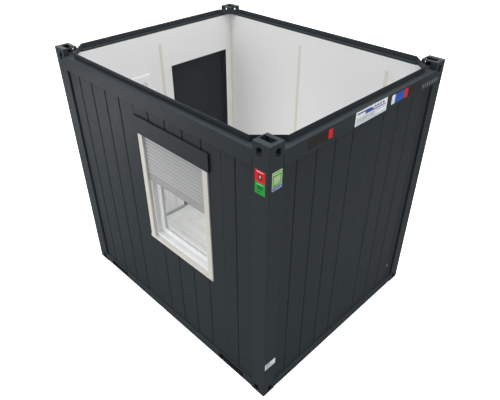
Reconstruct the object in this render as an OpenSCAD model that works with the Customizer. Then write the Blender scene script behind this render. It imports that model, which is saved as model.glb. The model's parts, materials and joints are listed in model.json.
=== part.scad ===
// Site cabin: a welded steel frame with recessed sandwich walls, one window with
// a roller shutter, one steel door and an open top.
// X runs along the cabin, Y across it, Z up. The origin is at the centre of the
// footprint, level with the underside of the corner castings.

/* [Cabin] */
// Length over the frame
cabin_length = 2989; // [2700:1:3700]
// Width over the frame
cabin_width = 2435; // [2100:1:3000]
// Height over the corner castings
cabin_height = 2800; // [2700:1:3400]

/* [Frame] */
// Size of a corner casting and a post along X
corner_x = 168; // [150:1:200]
// Size of a corner casting and a post along Y
corner_y = 152; // [130:1:180]
// Height of a top corner casting
top_casting_h = 118; // [110:1:140]
// Wall of a corner casting
casting_wall = 12; // [8:1:16]
// Chamfer on the frame's long edges
edge_chamfer = 4; // [2:0.5:6]
// Thickness of the two legs of a post
post_leg = 60; // [30:1:70]
// Height of the top rail's outer face
top_rail_h = 141; // [120:1:180]
// Drop from the castings' top to the rail's ledge
ledge_drop = 74; // [50:1:80]
// Depth of the ledge outside the upstand
ledge_depth = 60; // [45:1:75]
// Height of the upstand above the ledge
upstand_h = 54; // [30:1:60]
// Thickness of the upstand and of the ledge plate
plate_t = 3; // [2:0.5:5]
// Distance from the cabin's corner to where the upstand turns to the diagonal
upstand_turn = 262; // [230:1:320]
// Gap under the bottom rails
rail_gap = 12; // [6:1:20]
// Height of the top face of the bottom rails
sill_z = 112; // [105:1:135]

/* [Castings' holes] */
// Length of the slot in a casting's top, along X
top_slot_x = 124; // [100:1:128]
// Width of the slot in a casting's top, along Y
top_slot_y = 63.5; // [50:0.5:70]
// Width of the holes in a casting's outer sides
side_slot_w = 50; // [40:1:56]
// Height of the holes in a casting's outer sides
side_slot_h = 74; // [60:1:78]
// Bevel round those holes
side_slot_bevel = 4; // [2:1:6]

/* [Fork pockets] */
// Width of a pocket
pocket_w = 352; // [300:1:380]
// Height of a pocket
pocket_h = 85; // [70:1:86]
// Distance between the pockets' centres
pocket_pitch = 2055; // [1500:1:2150]
// Wall of a pocket's tube
pocket_wall = 3; // [2:0.5:4]

/* [Walls] */
// Recess of the cladding behind the frame
clad_recess = 21; // [12:1:30]
// Depth of the walls' inner face behind the frame's outer face
wall_depth = 97.5; // [85:0.5:130]
// Thickness of the inner lining
lining_t = 12; // [8:1:20]
// Height of the linings' top edge below the castings' top
lining_drop = 94; // [90:1:110]
// Width of a full cladding panel
panel_w = 1165; // [900:1:1250]
// Distance from a panel's edge to its first groove
groove_first = 228; // [150:1:240]
// Distance between grooves
groove_pitch = 236.5; // [180:0.5:260]
// Width of a groove at the surface
groove_w = 28; // [16:1:40]
// Width of a groove at its bottom
groove_floor = 8; // [4:1:14]
// Depth of a groove
groove_d = 9; // [5:1:14]
// Width and depth of the chamfers at a joint between panels
joint_v = 3; // [1:0.5:5]
// Distance of the front wall's first joint from the cabin's left end
front_joint = 1296.5; // [1200:1:1400]
// Distance of the back wall's first joint from the cabin's right end
back_joint = 539; // [480:1:620]
// Distance of the right wall's joint from the cabin's front
right_joint = 1251.5; // [1100:1:1300]
// Distance of the left wall's joint from the cabin's back
left_joint = 1222.5; // [1180:1:1300]
// Distance of a filler panel's groove from its joint
filler_groove = 163; // [120:1:180]

/* [Window] */
// Distance of the window from the cabin's left end
window_x = 1331.5; // [1300:1:1400]
// Width of the window with its guides
window_w = 970; // [800:1:1000]
// Height of the window's lower edge
window_z = 1095; // [900:1:1200]
// Height of the window up to the shutter box
window_h = 1215; // [1000:1:1300]
// Width of a shutter guide
guide_w = 66; // [50:1:80]
// Depth of the guides' front behind the frame's outer face
guide_front = 8; // [4:1:12]
// Height of the sill's front
window_sill_h = 31; // [20:1:40]
// Depth of the plastic frame's front behind the frame's outer face
pvc_front = 42; // [38:1:50]
// Width of the plastic frame inside the guides
pvc_show = 20; // [10:1:30]
// Height of the plastic frame above the window's lower edge
pvc_bottom = 71; // [55:1:80]
// Depth of the sash's front behind the frame's outer face
sash_front = 88; // [80:1:92]
// Width of the sash's members
sash_w = 64; // [50:1:75]
// Thickness of the sash
sash_t = 34; // [28:1:50]
// Depth of the glass behind the sash's front
glass_set = 22; // [10:1:24]
// Thickness of the glass
glass_t = 6; // [4:1:10]
// Height of the shutter box
box_h = 172; // [140:1:180]
// How far the shutter box reaches past the window at each side
box_over = 23; // [10:1:30]
// Distance from the shutter box down to the curtain's end
curtain_drop = 481; // [200:1:900]
// Pitch of the curtain's slats
slat_pitch = 39.5; // [30:0.5:50]
// Thickness of the curtain
slat_t = 8; // [6:1:10]

/* [Door] */
// Distance of the door frame from the cabin's back
door_x = 187.5; // [180:0.5:195]
// Width of the door frame
door_w = 900; // [700:1:1000]
// Height of the door frame's top above the floor
door_h = 2110; // [1900:1:2200]
// Thickness of the door leaf
leaf_t = 36; // [30:1:40]
// Clearance round the door leaf
leaf_gap = 6; // [5:0.5:8]
// Depth of the leaf's outer face behind the frame's outer face
leaf_front = 14; // [14:1:20]
// Radius of the hinges' knuckles
knuckle_r = 6; // [5:0.5:6.5]
// Length of one hinge
hinge_h = 120; // [90:3:150]
// Height of the door handle above the floor
handle_h = 1050; // [900:10:1150]

/* [Floor] */
// Height of the floor's surface
floor_z = 158; // [150:1:180]
// Thickness of the floor covering
cover_t = 3; // [2:0.5:6]
// Height of the skirting
skirting_h = 47; // [30:1:80]
// Thickness of the skirting
skirting_t = 14; // [8:1:20]
// Height of the floor beams
beam_h = 80; // [50:1:90]
// Width of the floor beams
beam_w = 40; // [30:1:60]

/* [Inside] */
// Width of the strips over the linings' joints
strip_w = 35; // [20:1:60]
// Thickness of those strips
strip_t = 3; // [2:0.5:6]
// Drop from the castings' top to the strips' top
strip_drop = 233; // [200:1:300]
// Width of the strips that cover the room's corners
corner_strip_w = 42; // [30:1:60]
// Distance of the distribution box from the cabin's back
unit_x = 1422.5; // [1400:1:1500]
// Width of the distribution box
unit_w = 380; // [250:1:500]
// Height of the distribution box
unit_h = 400; // [250:1:500]
// Depth of the distribution box
unit_d = 28; // [24:1:120]
// Height of the distribution box's top
unit_top = 2262; // [2000:1:2300]
// Width of the cable duct beside it
duct_w = 25; // [15:1:40]
// Depth of the cable duct
duct_d = 20; // [15:1:40]
// Height of the duct's lower end
duct_z = 475; // [300:5:800]
// Gap between the cable duct and the distribution box
duct_gap = 22; // [10:1:60]

/* [Hidden] */

steel = [0.25, 0.27, 0.28];
cream = [0.88, 0.86, 0.82];
white = [0.84, 0.84, 0.84];
beige = [0.80, 0.77, 0.70];
grey = [0.62, 0.65, 0.66];

half_l = cabin_length / 2;
half_w = cabin_width / 2;
ledge_z = cabin_height - ledge_drop;
casting_z = cabin_height - top_casting_h;
clad_top = ledge_z - top_rail_h;
lining_top = cabin_height - lining_drop;
core_depth = wall_depth - lining_t;
lip_depth = ledge_depth + plate_t;
diagonal = upstand_turn + lip_depth;
diagonal_t = plate_t * sqrt(2);
shelf_start = diagonal - core_depth;
big = 10000;

// Runs from 0 along the wall, with depth into the wall as Y.
module at_front() {
    translate([-half_l, -half_w, 0]) children();
}

module at_back() {
    translate([half_l, half_w, 0]) rotate([0, 0, 180]) children();
}

module at_right() {
    translate([half_l, -half_w, 0]) rotate([0, 0, 90]) children();
}

module at_left() {
    translate([-half_l, half_w, 0]) rotate([0, 0, 270]) children();
}

// Puts a piece made for the front left corner in all four corners.
module at_corners() {
    at_front() children();
    mirror([1, 0, 0]) at_front() children();
    mirror([0, 1, 0]) at_front() children();
    mirror([1, 0, 0]) mirror([0, 1, 0]) at_front() children();
}

module prism(z0, z1, points) {
    translate([0, 0, z0]) linear_extrude(z1 - z0) polygon(points);
}

// Draws a section given as [depth, height] along a wall from x0 to x1.
module along(x0, x1, section) {
    translate([x0, 0, 0]) rotate([90, 0, 90]) linear_extrude(x1 - x0) polygon(section);
}

module block(x0, x1, y0, y1, z0, z1) {
    translate([x0, y0, z0]) cube([x1 - x0, y1 - y0, z1 - z0]);
}

// ---- frame ----

module post() {
    c = edge_chamfer;
    prism(sill_z, casting_z, [
        [c, 0], [corner_x - c, 0], [corner_x, c], [corner_x, post_leg], [post_leg, post_leg],
        [post_leg, corner_y], [c, corner_y], [0, corner_y - c], [0, c]
    ]);
}

module corner_posts() {
    color(steel) at_corners() post();
}

// Centre of the holes from the cabin's corner.
slot_rim_x = 9.5;
slot_rim_y = 36.5;
slot_x = corner_x - top_slot_x / 2 - slot_rim_x;
slot_y = corner_y - top_slot_y / 2 - slot_rim_y;
front_slot_share = 0.604;
side_slot_share = 0.576;
front_slot_x = corner_x * front_slot_share;
side_slot_y = corner_y * side_slot_share;
slot_drop = 74.5;

// A standing slot through a wall in the XZ plane, wider at the outer face.
module side_slot() {
    r = side_slot_w / 2;
    b = side_slot_bevel;
    straight = side_slot_h / 2 - r;
    depth = casting_wall + 2;
    rotate([-90, 0, 0]) {
        for (s = [-1, 1]) translate([0, s * straight, -1]) cylinder(h = depth, r = r);
        translate([-r, -straight, -1]) cube([2 * r, 2 * straight, depth]);
        for (s = [-1, 1]) translate([0, s * straight, -1]) cylinder(h = b + 1, r1 = r + b + 1, r2 = r);
        translate([0, straight, 0]) rotate([90, 0, 0]) linear_extrude(2 * straight)
            polygon([[-r - b - 1, -1], [r + b + 1, -1], [r, b], [-r, b]]);
    }
}

// The two holes in a casting's outer sides, at one height.
module side_slots(z) {
    translate([front_slot_x, 0, z]) side_slot();
    translate([0, side_slot_y, z]) rotate([0, 0, -90]) side_slot();
}

module corner_outline(c) {
    polygon([[c, 0], [corner_x, 0], [corner_x, corner_y], [0, corner_y], [0, c]]);
}

// The part of a corner that lies outside the linings.
module corner_ell(inset) {
    c = edge_chamfer;
    polygon([
        [inset + c, inset], [corner_x - inset, inset], [corner_x - inset, core_depth - inset],
        [core_depth - inset, core_depth - inset], [core_depth - inset, corner_y - inset],
        [inset, corner_y - inset], [inset, inset + c]
    ]);
}

lid_t = 10;
cup_floor_t = 6;
window_w_inside = 62;
lid_z = cabin_height - lid_t;
rim_z = ledge_z - plate_t;

// The four plates of a top casting that carry its side holes, with a flange round their foot.
module top_casting() {
    w = casting_wall;
    half = window_w_inside / 2;
    difference() {
        translate([0, 0, rim_z]) linear_extrude(lid_z - rim_z) corner_outline(edge_chamfer);
        translate([0, 0, rim_z - 1]) linear_extrude(plate_t + 2) corner_ell(w);
        block(w, corner_x - w, w, corner_y - w, ledge_z, cabin_height);
        side_slots(cabin_height - slot_drop);
        block(corner_x - w - 1, corner_x + 1, side_slot_y - half, side_slot_y + half,
            ledge_z, cabin_height);
        block(front_slot_x - half, front_slot_x + half, corner_y - w - 1, corner_y + 1,
            ledge_z, cabin_height);
    }
}

module top_castings() {
    color(steel) at_corners() top_casting();
}

// The slotted plate on top of a casting.
module casting_lid() {
    difference() {
        translate([0, 0, lid_z]) linear_extrude(lid_t) corner_outline(edge_chamfer);
        block(slot_x - top_slot_x / 2, slot_x + top_slot_x / 2,
            slot_y - top_slot_y / 2, slot_y + top_slot_y / 2, lid_z - 1, cabin_height + 1);
    }
}

module casting_lids() {
    color(steel) at_corners() casting_lid();
}

// The lower half of a casting, outside the linings, closed by a floor on the post.
module casting_cup() {
    difference() {
        translate([0, 0, casting_z]) linear_extrude(rim_z - casting_z) corner_ell(0);
        translate([0, 0, casting_z + cup_floor_t])
            linear_extrude(rim_z - casting_z) corner_ell(casting_wall);
        side_slots(cabin_height - slot_drop);
    }
}

module casting_cups() {
    color(steel) at_corners() casting_cup();
}

module bottom_casting() {
    w = casting_wall;
    difference() {
        linear_extrude(sill_z) corner_outline(edge_chamfer);
        block(w, corner_x - w, w, corner_y - w, w, sill_z - w);
        block(slot_x - top_slot_x / 2, slot_x + top_slot_x / 2,
            slot_y - top_slot_y / 2, slot_y + top_slot_y / 2, -1, w + 1);
        side_slots(sill_z / 2);
    }
}

module bottom_castings() {
    color(steel) at_corners() bottom_casting();
}

// Plate and diagonal upstand that close the frame's corner.
module corner_gusset() {
    prism(ledge_z - plate_t, ledge_z, [
        [corner_x, core_depth], [shelf_start, core_depth], [core_depth, shelf_start],
        [core_depth, corner_y], [corner_x, corner_y]
    ]);
    prism(ledge_z, ledge_z + upstand_h, [
        [upstand_turn, ledge_depth], [upstand_turn, lip_depth], [lip_depth, upstand_turn],
        [ledge_depth, upstand_turn], [ledge_depth, diagonal - diagonal_t - ledge_depth],
        [diagonal - diagonal_t - ledge_depth, ledge_depth]
    ]);
}

module corner_gussets() {
    color(steel) at_corners() corner_gusset();
}

module top_rail(length, corner) {
    c = edge_chamfer;
    color(steel) {
        along(corner, length - corner, [
            [c, clad_top], [core_depth, clad_top], [core_depth, ledge_z],
            [c, ledge_z], [0, ledge_z - c], [0, clad_top + c]
        ]);
        along(shelf_start, length - shelf_start, [
            [core_depth, lining_top], [wall_depth, lining_top],
            [wall_depth, ledge_z], [core_depth, ledge_z]
        ]);
    }
}

module upstand(length) {
    block(upstand_turn, length - upstand_turn, ledge_depth, lip_depth, ledge_z, ledge_z + upstand_h);
}

// The thin lips that stand on the rails' ledges.
module upstands() {
    color(steel) {
        at_front() upstand(cabin_length);
        at_back() upstand(cabin_length);
        at_left() upstand(cabin_width);
        at_right() upstand(cabin_width);
    }
}

module top_rail_front() {
    at_front() top_rail(cabin_length, corner_x);
}

module top_rail_back() {
    at_back() top_rail(cabin_length, corner_x);
}

module top_rail_left() {
    at_left() top_rail(cabin_width, corner_y);
}

module top_rail_right() {
    at_right() top_rail(cabin_width, corner_y);
}

module bottom_rail(length, corner) {
    c = edge_chamfer;
    along(corner, length - corner, [
        [0, rail_gap], [wall_depth, rail_gap], [wall_depth, sill_z], [c, sill_z], [0, sill_z - c]
    ]);
}

pocket_z = rail_gap + 6;

module pocket_hole(extra) {
    for (s = [-1, 1]) {
        translate([cabin_length / 2 + s * pocket_pitch / 2, 0, pocket_z + pocket_h / 2])
            cube([pocket_w + 2 * extra, 2 * wall_depth + big, pocket_h + 2 * extra], center = true);
    }
}

module long_bottom_rail() {
    color(steel) difference() {
        bottom_rail(cabin_length, corner_x);
        pocket_hole(0);
    }
}

module bottom_rail_front() {
    at_front() long_bottom_rail();
}

module bottom_rail_back() {
    at_back() long_bottom_rail();
}

module bottom_rail_left() {
    color(steel) at_left() bottom_rail(cabin_width, corner_y);
}

module bottom_rail_right() {
    color(steel) at_right() bottom_rail(cabin_width, corner_y);
}

// ---- floor ----

module fork_pockets() {
    w = pocket_w + 2 * pocket_wall;
    color(steel) difference() {
        for (s = [-1, 1]) {
            block(s * pocket_pitch / 2 - w / 2, s * pocket_pitch / 2 + w / 2,
                -half_w + wall_depth, half_w - wall_depth,
                pocket_z - pocket_wall, pocket_z + pocket_h + pocket_wall);
        }
        at_front() pocket_hole(0);
    }
}

// Beams stand between the fork pockets and outside them.
inner_beams = [-0.38, 0, 0.38];
pocket_side = pocket_pitch / 2 + pocket_w / 2 + pocket_wall;
pocket_inside = pocket_pitch / 2 - pocket_w / 2 - pocket_wall;
outer_beam = (pocket_side + half_l - corner_x) / 2;

module floor_beam(x) {
    block(x - beam_w / 2, x + beam_w / 2, -half_w + wall_depth, half_w - wall_depth,
        sill_z - beam_h, sill_z);
}

module floor_beams() {
    color(steel) {
        for (k = inner_beams) floor_beam(k * pocket_inside * 2);
        for (s = [-1, 1]) floor_beam(s * outer_beam);
    }
}

module floor_deck() {
    color(beige) block(-half_l + wall_depth, half_l - wall_depth,
        -half_w + wall_depth, half_w - wall_depth, sill_z, floor_z - cover_t);
}

module floor_covering() {
    color(grey) block(-half_l + wall_depth, half_l - wall_depth,
        -half_w + wall_depth, half_w - wall_depth, floor_z - cover_t, floor_z);
}

module skirting_run(x0, x1) {
    c = 5;
    along(x0, x1, [
        [wall_depth, floor_z], [wall_depth + skirting_t, floor_z],
        [wall_depth + skirting_t, floor_z + skirting_h - c],
        [wall_depth + skirting_t - c, floor_z + skirting_h], [wall_depth, floor_z + skirting_h]
    ]);
}

module skirting() {
    inner = wall_depth + skirting_t + 0.3;
    color(grey) {
        at_front() skirting_run(wall_depth, cabin_length - wall_depth);
        at_back() skirting_run(wall_depth, cabin_length - wall_depth);
        at_right() skirting_run(inner, cabin_width - inner);
        at_left() skirting_run(inner, door_x);
        at_left() skirting_run(door_x + door_w, cabin_width - inner);
    }
}

// ---- outer walls ----

// Places of the grooves between x0 and x1, for joints that start at ref.
function grooves(ref, x0, x1) = [
    for (k = [-3:3]) for (i = [0:3])
        let (x = ref + k * panel_w + groove_first + i * groove_pitch)
            if (x > x0 + groove_w && x < x1 - groove_w) x
];

function groove_points(x, front, w, f, d) = [
    [x - w / 2, front], [x - f / 2, front + d], [x + f / 2, front + d], [x + w / 2, front]
];

// A wall panel with its grooves, chamfered where it meets the next panel.
module panel(x0, x1, places, z0 = sill_z, z1 = clad_top) {
    v = joint_v;
    outer = [
        for (x = places) for (p = groove_points(x, clad_recess, groove_w, groove_floor, groove_d)) p
    ];
    prism(z0, z1, concat(
        [[x0, core_depth], [x0, clad_recess + v], [x0 + v, clad_recess]], outer,
        [[x1 - v, clad_recess], [x1, clad_recess + v], [x1, core_depth]]
    ));
}

module front_panel_left() {
    x1 = front_joint;
    color(steel) at_front() panel(corner_x, x1, grooves(front_joint, corner_x, x1));
}

window_x1 = window_x + window_w;
window_top = window_z + window_h;
box_shift = 5;
box_x0 = window_x - box_over + box_shift;
box_x1 = window_x1 + box_over + box_shift;

module front_panel_window() {
    x0 = front_joint;
    x1 = front_joint + panel_w;
    color(steel) at_front() difference() {
        panel(x0, x1, grooves(front_joint, x0, x1));
        block(window_x, window_x1, 0, wall_depth, window_z, window_top + box_h - casting_wall);
    }
}

module front_panel_right() {
    x0 = front_joint + panel_w;
    color(steel) at_front() panel(x0, cabin_length - corner_x, [x0 + filler_groove]);
}

module back_panel_left() {
    color(steel) at_back() panel(corner_x, back_joint, [back_joint - filler_groove]);
}

module back_panel_middle() {
    x1 = back_joint + panel_w;
    color(steel) at_back() panel(back_joint, x1, grooves(back_joint, back_joint, x1));
}

module back_panel_right() {
    x0 = back_joint + panel_w;
    x1 = cabin_length - corner_x;
    color(steel) at_back() panel(x0, x1, grooves(back_joint, x0, x1));
}

module right_panel_front() {
    color(steel) at_right()
        panel(corner_y, right_joint, grooves(right_joint, corner_y, right_joint));
}

module right_panel_back() {
    x1 = cabin_width - corner_y;
    color(steel) at_right() panel(right_joint, x1, grooves(right_joint, right_joint, x1));
}

door_x1 = door_x + door_w;
door_top = floor_z + door_h;

module left_panel_back() {
    color(steel) at_left() panel(corner_y, door_x, []);
}

module left_panel_over_door() {
    color(steel) at_left()
        panel(door_x, door_x1, grooves(left_joint, door_x, door_x1), door_top, clad_top);
}

module left_panel_front() {
    x1 = cabin_width - corner_y;
    color(steel) at_left() panel(door_x1, x1, grooves(left_joint, left_joint, x1));
}

// ---- inner walls ----

module lining(x0, x1, z0 = sill_z) {
    color(white) block(x0, x1, core_depth, wall_depth, z0, lining_top);
}

module front_lining() {
    at_front() difference() {
        lining(core_depth, cabin_length - core_depth);
        color(white) block(window_x, window_x1, 0, wall_depth + 1, window_z, window_top);
    }
}

module back_lining() {
    at_back() lining(core_depth, cabin_length - core_depth);
}

module right_lining() {
    at_right() lining(wall_depth, cabin_width - wall_depth);
}

module left_lining_back() {
    at_left() lining(wall_depth, door_x);
}

module left_lining_over_door() {
    at_left() lining(door_x, door_x1, door_top);
}

module left_lining_front() {
    at_left() lining(door_x1, cabin_width - wall_depth);
}

strip_top = cabin_height - strip_drop;
strip_z = floor_z + skirting_h;

module strip(x, z0 = strip_z) {
    block(x - strip_w / 2, x + strip_w / 2, wall_depth, wall_depth + strip_t, z0, strip_top);
}

module joint_strips() {
    color(beige) {
        at_front() strip(front_joint, window_top + strip_w);
        at_front() block(front_joint - strip_w / 2, front_joint + strip_w / 2,
            wall_depth, wall_depth + strip_t, strip_z, window_z - strip_w);
        at_front() strip(front_joint + panel_w);
        at_back() for (k = [0:2]) strip(back_joint + k * panel_w);
        at_right() strip(right_joint);
        at_left() strip(left_joint);
    }
}

// A flat strip on the side wall, close against the long wall.
module corner_cover() {
    block(wall_depth, wall_depth + strip_t, wall_depth, wall_depth + corner_strip_w,
        strip_z, lining_top - 1);
}

module corner_covers() {
    color(white) at_corners() corner_cover();
}

// ---- window ----

// A flat ring in the XZ plane, from depth y0 to y1.
module ring(x0, x1, z0, z1, y0, y1, left, right, low, high) {
    difference() {
        block(x0, x1, y0, y1, z0, z1);
        block(x0 + left, x1 - right, y0 - 1, y1 + 1, z0 + low, z1 - high);
    }
}

guide_z = window_z + window_sill_h;

module window_sill() {
    c = 3;
    color(cream) at_front() along(window_x, window_x1, [
        [4, window_z], [pvc_front, window_z], [pvc_front, guide_z], [4 + c, guide_z], [4, guide_z - c]
    ]);
}

module guide(x0) {
    c = 3;
    prism(guide_z, window_top, [
        [x0 + c, guide_front], [x0 + guide_w - c, guide_front], [x0 + guide_w, guide_front + c],
        [x0 + guide_w, pvc_front], [x0, pvc_front], [x0, guide_front + c]
    ]);
}

module shutter_guides() {
    color(cream) at_front() {
        guide(window_x);
        guide(window_x1 - guide_w);
    }
}

module shutter_box() {
    c = edge_chamfer;
    top = window_top + box_h;
    color(steel) at_front() {
        along(box_x0, box_x1, [
            [0, window_top], [clad_recess, window_top], [clad_recess, top], [c, top], [0, top - c]
        ]);
        block(window_x, window_x1, clad_recess, core_depth, window_top, top - casting_wall);
    }
}

curtain_z = window_top - curtain_drop;
end_slats = 5;
end_pitch = slat_pitch / 3;
curtain_u = pvc_front - slat_t - 4;
slat_steps = concat(
    [for (i = [0:end_slats - 1]) curtain_z + i * end_pitch],
    [for (z = [curtain_z + end_slats * end_pitch:slat_pitch:window_top - 2]) z]
);

// Each slat bulges a little and meets the next in a notch.
function slat_points(i) = let (
        z0 = slat_steps[i],
        z1 = i + 1 < len(slat_steps) ? slat_steps[i + 1] : window_top,
        n = min(3, (z1 - z0) / 4)
    ) [[curtain_u + 2, z0], [curtain_u, z0 + n], [curtain_u, z1 - n], [curtain_u + 2, z1]];

module shutter_curtain() {
    slats = [for (i = [0:len(slat_steps) - 1]) for (p = slat_points(i)) p];
    unique = [for (i = [0:len(slats) - 1]) if (i == 0 || slats[i] != slats[i - 1]) slats[i]];
    color(grey) at_front() along(window_x + guide_w, window_x1 - guide_w, concat(
        unique, [[curtain_u + slat_t, window_top], [curtain_u + slat_t, curtain_z]]
    ));
}

// The plastic frame: a front ring, and a thinner ring behind it that holds the sash.
sash_lap = 24;
pvc_side = guide_w + pvc_show;
pvc_back = sash_front + 22;

module window_frame() {
    color(white) at_front() {
        difference() {
            block(window_x, window_x1, pvc_front, pvc_back, window_z, window_top);
            block(window_x + pvc_side, window_x1 - pvc_side, 0, sash_front + 1,
                window_z + pvc_bottom, window_top - pvc_bottom);
            block(window_x + pvc_side - sash_lap, window_x1 - pvc_side + sash_lap,
                sash_front, pvc_back + 1,
                window_z + pvc_bottom - sash_lap, window_top - pvc_bottom + sash_lap);
        }
    }
}

module window_sash() {
    w = sash_lap + sash_w;
    color(white) at_front() ring(
        window_x + pvc_side - sash_lap, window_x1 - pvc_side + sash_lap,
        window_z + pvc_bottom - sash_lap, window_top - pvc_bottom + sash_lap,
        sash_front, sash_front + sash_t, w, w, w, w
    );
}

module window_glass() {
    s = pvc_side + sash_w;
    v = pvc_bottom + sash_w;
    color("lightblue") at_front() block(window_x + s, window_x1 - s,
        sash_front + glass_set, sash_front + glass_set + glass_t, window_z + v, window_top - v);
}

// ---- door ----

// Depths of the door frame's steps, from outside to inside.
leaf_back = leaf_front + leaf_t;
stop_gap = 5;
stop_t = 7;
trim_t = 18;
stop_front = leaf_back + stop_gap;
step_1 = stop_front + stop_t;
step_2 = step_1 + trim_t;
jamb_outer = 12;
jamb_stop = 46;
jamb_step_1 = 20;
jamb_step_2 = 3;

// Two jambs and a head round the doorway, of one section of [width, depth] points.
module round_doorway(section) {
    color(steel) at_left() {
        prism(floor_z, door_top, [for (p = section) [door_x + p[0], p[1]]]);
        prism(floor_z, door_top, [for (p = section) [door_x1 - p[0], p[1]]]);
        along(door_x, door_x1, [for (p = section) [p[1], door_top - p[0]]]);
    }
}

// The bars beside the leaf.
module door_frame() {
    round_doorway([
        [0, leaf_front], [jamb_outer, leaf_front], [jamb_outer, stop_front], [0, stop_front]
    ]);
}

// The stops that the leaf closes against.
module door_stops() {
    round_doorway([[0, stop_front], [jamb_stop, stop_front], [jamb_stop, step_1], [0, step_1]]);
}

// The stepped trim between the stops and the linings.
module door_trim() {
    round_doorway([
        [0, step_1], [jamb_step_1, step_1], [jamb_step_1, step_2], [jamb_step_2, step_2],
        [jamb_step_2, wall_depth], [0, wall_depth]
    ]);
}

module door_threshold() {
    c = edge_chamfer;
    color("silver") at_left() along(door_x, door_x1, [
        [leaf_front, sill_z], [wall_depth, sill_z], [wall_depth, floor_z],
        [leaf_front + c, floor_z], [leaf_front, floor_z - c]
    ]);
}

leaf_x0 = door_x + jamb_outer + leaf_gap;
leaf_x1 = door_x1 - jamb_outer - leaf_gap;
leaf_z0 = floor_z + leaf_gap;
leaf_z1 = door_top - jamb_outer - leaf_gap;

module door_leaf() {
    color(steel) at_left() block(leaf_x0, leaf_x1, leaf_front, leaf_back, leaf_z0, leaf_z1);
}

// The hinge axis stands in front of the gap between the leaf and the jamb.
hinge_x = leaf_x0 - leaf_gap / 2;
hinge_u = leaf_front - knuckle_r - 0.5;
strap_t = 3;
knuckle_gap = 0.3;
hinge_places = [leaf_z0 + 180, (leaf_z0 + leaf_z1) / 2, leaf_z1 - 180];

module knuckle(z0, z1) {
    translate([hinge_x, hinge_u, z0]) cylinder(h = z1 - z0, r = knuckle_r, $fn = 48);
}

// The frame carries each hinge's two end knuckles, on one strap.
module door_hinges() {
    third = hinge_h / 3;
    color("silver") at_left() for (z = hinge_places) for (s = [-1, 1]) {
        z0 = s < 0 ? z - hinge_h / 2 : z + third / 2;
        knuckle(z0, z0 + third);
        block(door_x, hinge_x, leaf_front - strap_t, leaf_front, z0, z0 + third);
    }
}

leaf_strap_w = 50;

// The leaf carries the middle knuckle.
module leaf_hinges() {
    middle = hinge_h / 6 - knuckle_gap;
    color("silver") at_left() for (z = hinge_places) {
        knuckle(z - middle, z + middle);
        block(hinge_x, leaf_x0 + leaf_strap_w, leaf_front - strap_t, leaf_front, z - middle, z + middle);
    }
}

handle_z = floor_z + handle_h;
backset = 60;
plate_w = 42;
plate_h = 220;
plate_drop = 136.4;
handle_plate_t = 6;
lever_r = 8;
lever_reach = 40;
lever_length = 125;

// One handle on the plane depth = 0, standing out towards negative depth.
module handle() {
    x = leaf_x1 - backset;
    low = handle_z - plate_drop;
    block(x - plate_w / 2, x + plate_w / 2, -handle_plate_t, 0, low, low + plate_h);
    translate([x, -handle_plate_t, handle_z]) rotate([90, 0, 0])
        cylinder(h = lever_reach - handle_plate_t, r = lever_r, $fn = 32);
    translate([x, -lever_reach, handle_z]) rotate([0, -90, 0])
        cylinder(h = lever_length, r = lever_r, $fn = 32);
    translate([x, -lever_reach, handle_z]) sphere(r = lever_r, $fn = 32);
}

module door_handles() {
    color("gainsboro") at_left() {
        translate([0, leaf_front, 0]) handle();
        translate([0, leaf_back, 0]) mirror([0, 1, 0]) handle();
    }
}

// ---- electrics ----

module distribution_box() {
    c = 6;
    d = wall_depth + unit_d;
    color(white) at_left() along(unit_x, unit_x + unit_w, [
        [wall_depth, unit_top - unit_h], [d - c, unit_top - unit_h], [d, unit_top - unit_h + c],
        [d, unit_top - c], [d - c, unit_top], [wall_depth, unit_top]
    ]);
}

module cable_duct() {
    x1 = unit_x - duct_gap;
    top = unit_top - unit_h / 2;
    color(white) at_left() {
        block(x1 - duct_w, x1, wall_depth, wall_depth + duct_d, duct_z, top);
        block(x1, unit_x, wall_depth, wall_depth + duct_d, top - duct_w, top);
    }
}

corner_posts();
top_castings();
casting_lids();
casting_cups();
bottom_castings();
corner_gussets();
top_rail_front();
top_rail_back();
top_rail_left();
top_rail_right();
upstands();
bottom_rail_front();
bottom_rail_back();
bottom_rail_left();
bottom_rail_right();
fork_pockets();
floor_beams();
floor_deck();
floor_covering();
skirting();
front_panel_left();
front_panel_window();
front_panel_right();
back_panel_left();
back_panel_middle();
back_panel_right();
right_panel_front();
right_panel_back();
left_panel_back();
left_panel_over_door();
left_panel_front();
front_lining();
back_lining();
right_lining();
left_lining_back();
left_lining_over_door();
left_lining_front();
joint_strips();
corner_covers();
window_sill();
shutter_guides();
shutter_box();
shutter_curtain();
window_frame();
window_sash();
window_glass();
door_frame();
door_stops();
door_trim();
door_threshold();
door_hinges();
door_leaf();
leaf_hinges();
door_handles();
distribution_box();
cable_duct();
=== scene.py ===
import json
import math
from collections import namedtuple

import bmesh
import bpy
from mathutils import Matrix, Vector


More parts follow.
